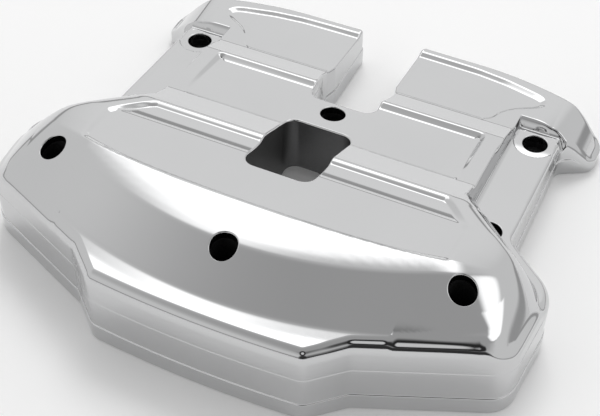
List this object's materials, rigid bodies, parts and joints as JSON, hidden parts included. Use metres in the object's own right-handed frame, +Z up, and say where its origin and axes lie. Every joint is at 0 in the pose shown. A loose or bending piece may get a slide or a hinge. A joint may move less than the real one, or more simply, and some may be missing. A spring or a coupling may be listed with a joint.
{
  "type": "engine valve cover",
  "caption": "Polished cast engine valve cover with a stepped top, domed front, window, rear notch and counterbored screw holes.",
  "frame": {"origin": "centre of the cover's overall box, on the plane of the underside", "axes": "+Y towards the notched rear edge, -Y towards the bowed front, +Z up out of the polished top, +X to the right seen from the front"},
  "size_m": [0.2376, 0.206, 0.0515],
  "materials": {
    "chrome": "mirror-polished chrome plating on a die casting"
  },
  "bodies": {
    "root": {"cover": "chrome"}
  },
  "joints": []
}
